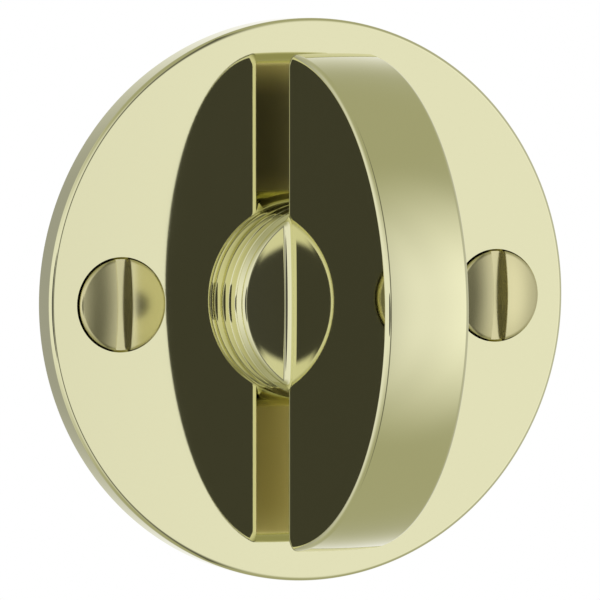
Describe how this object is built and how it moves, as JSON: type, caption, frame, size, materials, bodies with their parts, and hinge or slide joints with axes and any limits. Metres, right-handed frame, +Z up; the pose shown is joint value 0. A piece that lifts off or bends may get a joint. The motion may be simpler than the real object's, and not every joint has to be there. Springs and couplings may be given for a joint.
{
  "type": "bathroom thumb turn lock",
  "caption": "Half-moon thumb turn on a round screw-on rosette, with a sprung journal and a square spindle that works a bathroom lock.",
  "frame": {"origin": "centre of the rosette's back rim, on the plane that lies against the door", "axes": "+X to the right seen from the room, +Y into the door along the spindle, +Z up along the upright grip"},
  "size_m": [0.052, 0.0781, 0.052],
  "materials": {
    "rosette_brass": "mirror polished, clear lacquered",
    "turn_brass": "mirror polished, clear lacquered",
    "screw_brass": "polished",
    "bush_plastic": "natural acetal",
    "washer_steel": "stainless, as rolled",
    "spring_steel": "phosphated spring steel",
    "spindle_steel": "bright zinc plated"
  },
  "bodies": {
    "door_side": {"rosette": "rosette_brass", "front_bush": "bush_plastic", "rear_bush": "bush_plastic", "thrust_washer": "washer_steel", "wave_washer": "spring_steel", "fixing_screw_left": "screw_brass", "fixing_screw_right": "screw_brass"},
    "turn": {"thumb_turn": "turn_brass", "ring_washer": "washer_steel", "retaining_ring": "spring_steel", "spindle": "spindle_steel", "spindle_pin": "spring_steel"}
  },
  "joints": [
    {"name": "quarter_turn", "type": "hinge", "parent": "door_side", "child": "turn", "pos_m": [0, 0, 0], "axis": [0, 1, 0], "range_deg": [-90, 90]}
  ]
}
